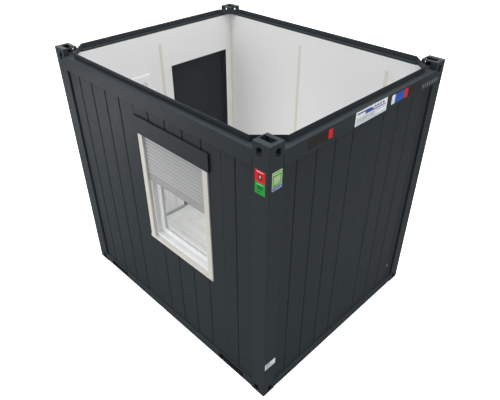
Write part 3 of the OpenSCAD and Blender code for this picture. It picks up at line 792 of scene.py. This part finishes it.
# Weld beads where the posts meet the bottom castings.
BEAD_STEP, BEAD_INSET, BEAD_SUNK = 0.005, 0.004, 0.0002
CASTING_REACH = {"front": 0.168, "back": 0.168, "right": 0.152, "left": 0.152}
beads = []
for side, (wall, outward, length) in WALLS.items():
    reach = CASTING_REACH[side]
    steps = int(reach / BEAD_STEP)
    for start in (0.0, length - reach):
        for i in range(steps + 1):
            x = start + BEAD_INSET + (reach - 2 * BEAD_INSET) * i / steps
            beads.append((wall(x, BEAD_SUNK, POST_LO.z), outward))
grown(points_mesh("bead_places", beads), bead_tree(), "weld_beads", "frame_paint", "cabin",
      Radius=0.0028, Unevenness=0.22, Seed=7)

# ---- Window ----
SILL = front_extent("window_sill")
CURTAIN = front_extent("shutter_curtain")
SASH = front_extent("window_sash")
GLASS = front_extent("window_glass")
FIXED = front_extent("window_frame")
HOUSING = front_extent("shutter_box")
SASH_FACE = 0.064
PANE = (SASH.x0 + SASH_FACE, SASH.x1 - SASH_FACE, SASH.low + SASH_FACE, SASH.high - SASH_FACE)

# One slat's section as (height, depth) points: a shallow arch whose ends lie back.
SLAT_SECTION = (
    (0.0, 0.0068), (0.0020, 0.0048), (0.0060, 0.0024), (0.0120, 0.0007), (0.0180, 0.0),
    (0.0250, 0.0006), (0.0310, 0.0022), (0.0355, 0.0042), (0.0380, 0.0062), (0.0395, 0.0070),
    (0.0395, 0.0078), (0.0, 0.0078),
)


def one_slat(width):
    """A closed slat along x, ready for the slat tree."""
    mesh = blank()
    ends = [[mesh.verts.new((x, depth, z)) for z, depth in SLAT_SECTION] for x in (0.0, width)]
    mesh.faces.new(ends[0])
    mesh.faces.new(ends[1][::-1])
    bridge(mesh, *ends)
    bmesh.ops.recalc_face_normals(mesh, faces=mesh.faces)
    return as_data(mesh, "one_slat")


curtain = grown(
    one_slat(CURTAIN.x1 - CURTAIN.x0), slat_tree(), "shutter_slats", "shutter_slats", "cabin",
    smooth=False, at=on_front(CURTAIN.x0, CURTAIN.near, CURTAIN.low + FINE_HEIGHT),
    Pitch=PITCH, Count=int((CURTAIN.high - CURTAIN.low - FINE_HEIGHT) / PITCH + 0.5),
    Fine_Pitch=PITCH * FINE_SHARE, Fine_Count=FINE_COUNT, Fine_Start=(0, 0, -FINE_HEIGHT),
)
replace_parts(curtain, "shutter_curtain")

BEAD_WIDTH = 0.024
beads_in = Shape(on_front)
beads_in.mitred(*PANE, (
    (-0.004, SASH.near + 0.002), (0.003, SASH.near + 0.0015), (0.008, SASH.near + 0.004),
    (0.021, SASH.near + 0.014), (BEAD_WIDTH, GLASS.near - 0.003), (BEAD_WIDTH, GLASS.near),
    (-0.004, GLASS.near),
))
beads_in.done("glazing_beads", "white_plastic")
x0, x1, low, high = PANE
seal = Shape(on_front)
seal.mitred(x0 + BEAD_WIDTH, x1 - BEAD_WIDTH, low + BEAD_WIDTH, high - BEAD_WIDTH, (
    (-0.001, GLASS.near - 0.0025), (0.0015, GLASS.near - 0.0022), (0.0025, GLASS.near - 0.0002),
    (-0.001, GLASS.near - 0.0002),
))
seal.mitred(*PANE, (
    (-0.001, GLASS.far + 0.0002), (0.0035, GLASS.far + 0.0002), (0.002, GLASS.far + 0.003),
    (-0.001, GLASS.far + 0.0035),
))
seal.done("pane_seals", "white_plastic", material=rubber("grey_seal", (0.50, 0.50, 0.50)))

SILL_END_T = 0.0015
sill = Shape(on_front)
for x in (SILL.x0, SILL.x1):
    sill.block(x - SILL_END_T, x + SILL_END_T, SILL.near - 0.001, SILL.far,
               SILL.low - 0.001, SILL.high + 0.002, 0.0006)
sill.done("sill_ends", "cream_plastic")

# Drain caps in the window frame's lower bar.
CAP_HALF, CAP_LOW, CAP_HIGH = 0.017, 0.038, 0.047
caps = Shape(on_front)
for share in (0.2, 0.8):
    x = FIXED.x0 + share * (FIXED.x1 - FIXED.x0)
    caps.card(x - CAP_HALF, x + CAP_HALF, FIXED.low + CAP_LOW, FIXED.low + CAP_HIGH,
              FIXED.near - 0.002, FIXED.near + 0.001, 0.003)
caps.done("drain_caps", "white_plastic")

# Tilt and turn handle on the sash, inside: a rose, a neck and a lever that hangs down.
ROSE_HALF_W, ROSE_HALF_H, ROSE_T = 0.016, 0.035, 0.010
LEVER_HALF_W, LEVER_NEAR, LEVER_FAR, LEVER_DROP = 0.010, 0.026, 0.038, 0.118
grip = Shape(on_front)
grip_x = SASH.x0 + SASH_FACE / 2
grip_z = (SASH.low + SASH.high) / 2
grip.card(grip_x - ROSE_HALF_W, grip_x + ROSE_HALF_W, grip_z - ROSE_HALF_H, grip_z + ROSE_HALF_H,
          SASH.far, SASH.far + ROSE_T, 0.010, 0.002)
grip.turned(on_front(grip_x, SASH.far + 0.009, grip_z), Vector((0, 1, 0)),
            ((0, 0.0), (0, 0.010), (0.020, 0.010), (0.024, 0.008), (0.025, 0.0)))
grip.block(grip_x - LEVER_HALF_W, grip_x + LEVER_HALF_W, SASH.far + LEVER_NEAR,
           SASH.far + LEVER_FAR, grip_z - LEVER_DROP, grip_z + 0.012, 0.004, 3)
grip.done("window_handle", "white_plastic")

HINGE_PIN = ((0, 0.0), (0, 0.005), (0.002, 0.006), (0.058, 0.006), (0.060, 0.005), (0.060, 0.0))
HINGE_INSET = 0.05
hinge_pair = Shape(on_front)
for z in (SASH.low + HINGE_INSET, SASH.high - HINGE_INSET):
    foot = on_front(SASH.x1 + 0.004, SASH.far - 0.003, z - 0.03)
    hinge_pair.turned(foot, Vector((0, 0, 1)), HINGE_PIN, 16)
hinge_pair.done("sash_hinges", "white_plastic")

# Shutter: closing bar, its lip, and the housing's screws.
bar = Shape(on_front)
bar.block(CURTAIN.x0 + 0.001, CURTAIN.x1 - 0.001, CURTAIN.near - 0.0015, CURTAIN.near + 0.0095,
          CURTAIN.low - 0.0005, CURTAIN.low + 0.0085, 0.0015)
bar.done("shutter_end_bar", "shutter_slats")
lip = Shape(on_front)
lip.block(CURTAIN.x0 + 0.004, CURTAIN.x1 - 0.004, CURTAIN.near + 0.002, CURTAIN.near + 0.006,
          CURTAIN.low - 0.006, CURTAIN.low - 0.0003, 0.001)
lip.done("shutter_lip", "shutter_slats", material=rubber("black_lip"))
UNDER_SCREWS, UNDER_INSET, END_INSET = 6, 0.04, 0.03
screws = []
for i in range(UNDER_SCREWS):
    span = HOUSING.x1 - HOUSING.x0 - 2 * UNDER_INSET
    x = HOUSING.x0 + UNDER_INSET + span * i / (UNDER_SCREWS - 1)
    screws.append((on_front(x, 0.006, HOUSING.low + 0.0002), Vector((0, 0, -1))))
for x, way in ((HOUSING.x0, -1), (HOUSING.x1, 1)):
    for z in (HOUSING.low + END_INSET, HOUSING.high - END_INSET):
        screws.append((on_front(x, 0.011, z), Vector((way, 0, 0))))
grown(points_mesh("housing_screw_places", screws), HEADS, "shutter_housing_screws",
      "cladding_paint", "cabin", Radius=0.0038, Height=0.0020, Washer=0.0055, Sides=10)

# ---- Door ----
LEAF = left_extent("door_leaf")
HANDLE = left_extent("door_handles")
FACES = ((LEAF.near - 0.006, -1), (LEAF.far + 0.006, 1))  # the handle plates' faces, both ways
SKIN_INSET, INNER_INSET = 0.012, 0.022
skin = Shape(on_left)
skin.card(LEAF.x0 + SKIN_INSET, LEAF.x1 - SKIN_INSET, LEAF.low + SKIN_INSET,
          LEAF.high - SKIN_INSET, LEAF.near - 0.0012, LEAF.near + 0.0005, 0.004, 0.0008)
skin.card(LEAF.x0 + INNER_INSET, LEAF.x1 - INNER_INSET, LEAF.low + INNER_INSET,
          LEAF.high - INNER_INSET, LEAF.far - 0.0005, LEAF.far + 0.0014, 0.004, 0.001)
DRIP_INSET, DRIP_LOW, DRIP_HIGH = 0.03, 0.018, 0.034
skin.block(LEAF.x0 + DRIP_INSET, LEAF.x1 - DRIP_INSET, LEAF.near - 0.009, LEAF.near,
           LEAF.low + DRIP_LOW, LEAF.low + DRIP_HIGH, 0.002)
skin.done("door_skins", "door_paint", "door")
KICK_INSET, KICK_LOW, KICK_HIGH = 0.05, 0.045, 0.245
kick = Shape(on_left)
kick.card(LEAF.x0 + KICK_INSET, LEAF.x1 - KICK_INSET, LEAF.low + KICK_LOW, LEAF.low + KICK_HIGH,
          LEAF.far + 0.0012, LEAF.far + 0.0026, 0.006, 0.0005)
kick.done("kick_plate", "handle_metal", "door")
SEAL_INSET = 0.004
gasket = Shape(on_left)
gasket.mitred(
    LEAF.x0 + SEAL_INSET, LEAF.x1 - SEAL_INSET, LEAF.low + SEAL_INSET, LEAF.high - SEAL_INSET, (
        (0.0, LEAF.far - 0.001), (0.011, LEAF.far - 0.001), (0.010, LEAF.far + 0.0035),
        (0.006, LEAF.far + 0.005), (0.001, LEAF.far + 0.0035),
    )
)
gasket.done("door_seal", "door_paint", "door", material=rubber("black_door_seal"))

# A profile cylinder under each lever, and the lever's round neck.
handle_x = LEAF.x1 - 0.060
lock_z = HANDLE.low + 0.064
neck_z = HANDLE.high - 0.0836
CYLINDER = ((0, 0.0), (0, 0.0088), (0.0045, 0.0088), (0.0052, 0.0080), (0.0052, 0.0))
NECK = ((-0.002, 0.0), (-0.002, 0.0135), (0.0020, 0.0135), (0.0032, 0.0120), (0.0032, 0.0))
TAIL_HALF, SLOT_HALF_W, SLOT_HALF_H = 0.0045, 0.0006, 0.0045
lock, slots = Shape(on_left), Shape(on_left)
for face, way in FACES:
    outward = Vector((way, 0, 0))
    back = face - way * 0.002
    lock.turned(on_left(handle_x, back, lock_z), outward, CYLINDER)
    lock.block(handle_x - TAIL_HALF, handle_x + TAIL_HALF, *sorted((back, face + way * 0.0030)),
               lock_z - 0.024, lock_z - 0.002, 0.0012)
    lock.turned(on_left(handle_x, face, neck_z), outward, NECK)
    slots.block(handle_x - SLOT_HALF_W, handle_x + SLOT_HALF_W,
                *sorted((face + way * 0.0025, face + way * 0.0034)),
                lock_z - SLOT_HALF_H, lock_z + SLOT_HALF_H, 0.0002)
lock.done("lock_cylinders", "handle_metal", "door")
slots.done("key_slots", "handle_metal", "door", material=rubber("key_slot_black"))

HINGE_HEIGHTS = (0.344, 1.207, 2.070)
STRAP_ROWS, STRAP_COLUMNS = (-0.011, 0.011), (0.016, 0.038)
leaf_screws = [
    (on_left(LEAF.x0 + dx, LEAF.near - 0.0025, hinge_z + dz), Vector((-1, 0, 0)))
    for hinge_z in HINGE_HEIGHTS for dz in STRAP_ROWS for dx in STRAP_COLUMNS
]
leaf_screws += [
    (on_left(handle_x, face, plate_z), Vector((way, 0, 0)))
    for plate_z in (HANDLE.low + 0.012, HANDLE.high - 0.012) for face, way in FACES
]
grown(points_mesh("leaf_screw_places", leaf_screws), HEADS, "leaf_screws", "hinge_steel", "door",
      Radius=0.0036, Height=0.0016, Washer=0.0040, Sides=12)

# ---- Distribution box and duct ----
UNIT = left_extent("distribution_box")
DUCT = left_extent("cable_duct")
LINING_DEPTH = 0.0975
FLAP_SET = 0.012
RIM_LEFT, RIM_RIGHT, RIM_LOW, RIM_HIGH = 0.061, 0.045, 0.050, 0.085
flap_face = UNIT.far - FLAP_SET
unit = Shape(on_left)
unit.block(UNIT.x0, UNIT.x1, LINING_DEPTH, flap_face, UNIT.low, UNIT.high, 0.001)
unit.mitred(UNIT.x0, UNIT.x1, UNIT.low, UNIT.high, (
    (0.0, flap_face - 0.0005), (0.0, UNIT.far - 0.002), (0.03, UNIT.far), (0.97, UNIT.far),
    (1.0, UNIT.far - 0.002), (1.0, flap_face - 0.0005),
), (RIM_LEFT, RIM_RIGHT, RIM_LOW, RIM_HIGH))
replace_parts(unit.done("distribution_box_case", "white_plastic"), "distribution_box")
FLAP_GAP = 0.002
unit_mid = (UNIT.low + UNIT.high) / 2
flap = Shape(on_left)
flap.card(UNIT.x0 + RIM_LEFT + FLAP_GAP, UNIT.x1 - RIM_RIGHT - FLAP_GAP,
          UNIT.low + RIM_LOW + FLAP_GAP, UNIT.high - RIM_HIGH - FLAP_GAP,
          flap_face - 0.001, flap_face + 0.003, 0.004, 0.001)
flap.card(UNIT.x0 + 0.070, UNIT.x0 + 0.086, unit_mid - 0.03, unit_mid + 0.03,
          flap_face + 0.002, flap_face + 0.007, 0.005, 0.001)
flap.done("box_flap", "white_plastic")
box_screws = [
    (on_left(x, UNIT.far - 0.0005, z), Vector((1, 0, 0)))
    for x in (UNIT.x0 + 0.022, UNIT.x1 - 0.020) for z in (UNIT.low + 0.022, UNIT.high - 0.022)
]
grown(points_mesh("box_screw_places", box_screws), HEADS, "box_screws", "white_plastic", "cabin",
      Radius=0.005, Height=0.0015, Washer=0.006, Sides=14)
duct_x1 = UNIT.x0 - 0.022
cover = Shape(on_left)
cover.block(duct_x1 - 0.0225, duct_x1 - 0.0025, DUCT.far - 0.001, DUCT.far + 0.0015,
            DUCT.low + 0.006, DUCT.high - 0.003, 0.001)
cover.block(duct_x1 - 0.0265, duct_x1 + 0.0015, LINING_DEPTH, DUCT.far + 0.002,
            DUCT.low - 0.003, DUCT.low + 0.012, 0.0015)
cover.done("duct_cover", "white_plastic")

# ---- Plates and labels: plain shapes only ----
INK = {
    ink: printed(ink + "_film", colour) for ink, colour in (
        ("red", (0.78, 0.012, 0.017)), ("green", (0.018, 0.38, 0.055)),
        ("blue", (0.028, 0.105, 0.42)), ("deep_blue", (0.010, 0.035, 0.24)),
        ("white", (0.86, 0.87, 0.88)), ("pale_green", (0.50, 0.60, 0.38)),
        ("deep_green", (0.012, 0.19, 0.035)), ("pale_grey", (0.60, 0.62, 0.65)),
        ("dark", (0.045, 0.035, 0.032)), ("lime", (0.17, 0.48, 0.035)),
        ("sky", (0.25, 0.42, 0.60)), ("brown", (0.024, 0.021, 0.020)),
        ("dull", (0.16, 0.165, 0.165)),
    )
}
FILM_T, FILM_BACK, FILM_CORNER = 0.0005, 0.0004, 0.004


def labels(name, wall, parts):
    """Flat films by ink: each part is ink, x0, x1, z0, z1 and how many layers up it lies."""
    for ink in dict.fromkeys(part[0] for part in parts):
        shape = Shape(wall)
        for kind, x0, x1, z0, z1, layer in parts:
            if kind == ink:
                corner = min(FILM_CORNER, (x1 - x0) / 3, (z1 - z0) / 3)
                front = -0.0006 - FILM_T * layer
                shape.card(x0, x1, z0, z1, front, FILM_BACK, corner, 0.0001)
        shape.done(f"{name}_{ink}", "frame_paint", material=INK[ink])


def row_of(ink, start, width, step, z0, z1, layer, count):
    """Equal blocks in a row, in place of small characters."""
    return [(ink, start + step * i, start + width + step * i, z0, z1, layer) for i in range(count)]


labels("rail_plate", on_right, [
    ("white", 1.000, 1.457, 2.595, 2.720, 0),
    ("deep_blue", 1.020, 1.210, 2.693, 2.704, 1), ("blue", 1.135, 1.245, 2.668, 2.700, 2),
    *row_of("blue", 1.262, 0.028, 0.040, 2.688, 2.702, 1, 4),
    ("deep_blue", 1.225, 1.435, 2.668, 2.677, 1), ("sky", 1.300, 1.440, 2.650, 2.656, 1),
    ("sky", 1.020, 1.440, 2.606, 2.612, 1), ("pale_grey", 1.020, 1.280, 2.618, 2.660, 0.5),
])
labels("rail_marks", on_right, [
    ("brown", 0.407, 0.645, 2.615, 2.705, 0), ("red", 0.655, 0.703, 2.620, 2.697, 0),
    ("white", 1.530, 1.585, 2.620, 2.705, 0), ("blue", 1.585, 1.740, 2.620, 2.705, 0),
    ("red", 1.743, 1.796, 2.620, 2.705, 0), ("brown", 1.807, 2.050, 2.612, 2.705, 0),
    *row_of("dull", 2.062, 0.024, 0.043, 2.612, 2.652, 0, 7),
])
edge = LENGTH
labels("post_signs", on_front, [
    ("red", edge - 0.139, edge - 0.037, 2.487, 2.585, 0),
    ("white", edge - 0.122, edge - 0.056, 2.570, 2.575, 1),
    ("dark", edge - 0.106, edge - 0.070, 2.508, 2.552, 1),
    ("pale_grey", edge - 0.094, edge - 0.082, 2.520, 2.544, 2),
    ("green", edge - 0.139, edge - 0.037, 2.382, 2.485, 0),
    ("white", edge - 0.118, edge - 0.058, 2.466, 2.470, 1),
    ("deep_green", edge - 0.114, edge - 0.062, 2.424, 2.454, 1),
    *row_of("dark", edge - 0.116, 0.012, 0.022, 2.400, 2.412, 1, 2),
])
labels("post_notice", on_right, [
    ("white", 0.030, 0.135, 2.430, 2.585, 0), ("lime", 0.034, 0.131, 2.462, 2.581, 1),
    ("white", 0.042, 0.122, 2.561, 2.566, 2), ("green", 0.042, 0.122, 2.549, 2.555, 2),
    ("pale_green", 0.048, 0.112, 2.480, 2.546, 2), ("sky", 0.092, 0.110, 2.482, 2.500, 3),
    ("blue", 0.034, 0.131, 2.434, 2.460, 1),
    *row_of("white", 0.046, 0.010, 0.022, 2.444, 2.451, 2, 4),
])
labels("post_foot", on_right, [
    ("white", 0.010, 0.150, 0.400, 0.475, 0), ("sky", 0.020, 0.080, 0.440, 0.464, 1),
    ("dull", 0.020, 0.140, 0.420, 0.424, 1), ("dull", 0.020, 0.120, 0.410, 0.414, 1),
])

# Domed cap low on the end wall.
DOME = (
    (0, 0.0), (0, 0.026), (0.011, 0.026), (0.013, 0.024), (0.018, 0.018), (0.021, 0.010),
    (0.022, 0.0),
)
cap = Shape(on_right)
cap.turned(on_right(0.937 + HALF_WIDTH, 0.030, 0.337), Vector((1, 0, 0)), DOME, 32)
cap.done("wall_cap", "cladding_paint", material=moulded("grey_cap", (0.10, 0.095, 0.09), 0.5))


# ---- Studio ----
# Each lamp: name, place, point aimed at, disk size, watts, spread in degrees.
LAMPS = (
    ("over_the_room", (-0.6, 0.3, 9.5), (0, 0, 0.5), 9.0, 880, 180),
    ("before_the_window", (-3.2, -7.5, 4.6), (0, 0, 1.2), 4.5, 145, 180),
    ("beside_the_front", (-3.3, -3.5, 1.2), (-1.2, -1.2, 0.9), 1.6, 46, 180),
    ("low_before_the_front", (0.6, -4.2, 0.25), (0.6, -1.2, 0.5), 1.8, 46, 180),
    ("low_before_the_end", (4.6, 0.0, 0.25), (1.5, 0.0, 0.5), 1.8, 38, 180),
    ("in_the_room", (0.1, -0.9, 1.4), (-0.35, 1.1, 0.9), 1.4, 5.5, 110),
    ("before_the_end_wall", (7.6, 1.5, 4.6), (0, 0, 1.2), 5.0, 150, 180),
    ("behind_the_door", (-7.0, 3.0, 3.4), (0, 0, 1.2), 5.0, 200, 180),
    ("behind_the_back", (1.0, 8.0, 3.6), (0, 0, 1.2), 5.0, 200, 180),
)
BACKDROP, SKY = ((1, 1, 1, 1), 1.0), ((0.97, 0.985, 1.0, 1), 0.45)  # colour and strength
FLOOR_RADIUS, FLOOR_GLOW = 40.0, 0.92
FLOOR_SEEN, FLOOR_FELT = (0.86, 0.86, 0.86, 1), (0.26, 0.26, 0.26, 1)
CAMERA_PLACE, CAMERA_AIM = (3.4426, -3.3535, 4.4091), (-0.57854, 0.57835, -0.57515)
SENSOR_MM, LENS_MM, CLIP_NEAR, CLIP_FAR = 36.0, 35.68, 0.05, 200.0


def set_up(name, data, place, way):
    """Puts a lamp or camera in the scene, looking along a direction."""
    holder = put(name, data)
    holder.location = place
    holder.rotation_mode = "QUATERNION"
    holder.rotation_quaternion = way.to_track_quat("-Z", "Y")
    return holder


def area_light(name, place, aim, size, power, spread):
    lamp = bpy.data.lights.new(name, "AREA")
    lamp.shape = "DISK"
    lamp.size = size
    lamp.energy = power
    lamp.spread = math.radians(spread)
    set_up(name, lamp, place, Vector(aim) - Vector(place)).visible_camera = False


def backdrop():
    """White where the camera sees it, a softer sky for everything else."""
    world = bpy.data.worlds.new("soft_studio")
    bpy.context.scene.world = world
    world.use_nodes = True
    tree = world.node_tree
    seen = tree.nodes["Background"]
    soft = tree.nodes.new("ShaderNodeBackground")
    for node, (colour, strength) in ((seen, BACKDROP), (soft, SKY)):
        node.inputs["Color"].default_value = colour
        node.inputs["Strength"].default_value = strength
    path = tree.nodes.new("ShaderNodeLightPath")
    mix = tree.nodes.new("ShaderNodeMixShader")
    for source, target in (
        (path.outputs["Is Camera Ray"], mix.inputs["Fac"]),
        (soft.outputs["Background"], mix.inputs[1]),
        (seen.outputs["Background"], mix.inputs[2]),
        (mix.outputs["Shader"], tree.nodes["World Output"].inputs["Surface"]),
    ):
        tree.links.new(source, target)


def studio_floor():
    """Nearly white where the camera sees it, darker in what it throws back."""
    floor = bmesh.new()
    bmesh.ops.create_circle(floor, cap_ends=True, segments=96, radius=FLOOR_RADIUS)
    data = as_data(floor, "studio_floor")
    finish = bpy.data.materials.new("pale_floor")
    finish.use_nodes = True
    tree = finish.node_tree
    shader = tree.nodes["Principled BSDF"]
    for socket, value in (
        ("Base Color", FLOOR_SEEN), ("Roughness", 0.9), ("Specular IOR Level", 0.0)
    ):
        shader.inputs[socket].default_value = value
    bright = add_node(tree, "ShaderNodeEmission", Strength=FLOOR_GLOW)
    both = tree.nodes.new("ShaderNodeAddShader")
    direct = tree.nodes.new("ShaderNodeMixShader")
    path = tree.nodes.new("ShaderNodeLightPath")
    dim = add_node(tree, "ShaderNodeBsdfDiffuse", Color=FLOOR_FELT)
    for source, target in (
        (shader.outputs["BSDF"], both.inputs[0]),
        (bright.outputs["Emission"], both.inputs[1]),
        (path.outputs["Is Camera Ray"], direct.inputs["Fac"]),
        (dim.outputs["BSDF"], direct.inputs[1]),
        (both.outputs["Shader"], direct.inputs[2]),
        (direct.outputs["Shader"], tree.nodes["Material Output"].inputs["Surface"]),
    ):
        tree.links.new(source, target)
    data.materials.append(finish)
    put("studio_floor", data)


def camera():
    lens = bpy.data.cameras.new("three_quarter_view")
    lens.sensor_width = SENSOR_MM
    lens.lens = LENS_MM
    lens.clip_start = CLIP_NEAR
    lens.clip_end = CLIP_FAR
    bpy.context.scene.camera = set_up(
        "three_quarter_view", lens, CAMERA_PLACE, Vector(CAMERA_AIM)
    )


backdrop()
for lamp in LAMPS:
    area_light(*lamp)
studio_floor()
view = bpy.context.scene.view_settings
view.view_transform = "Standard"
view.look = "None"
view.exposure = 0.0
view.gamma = 1.0
camera()

bpy.context.view_layer.update()
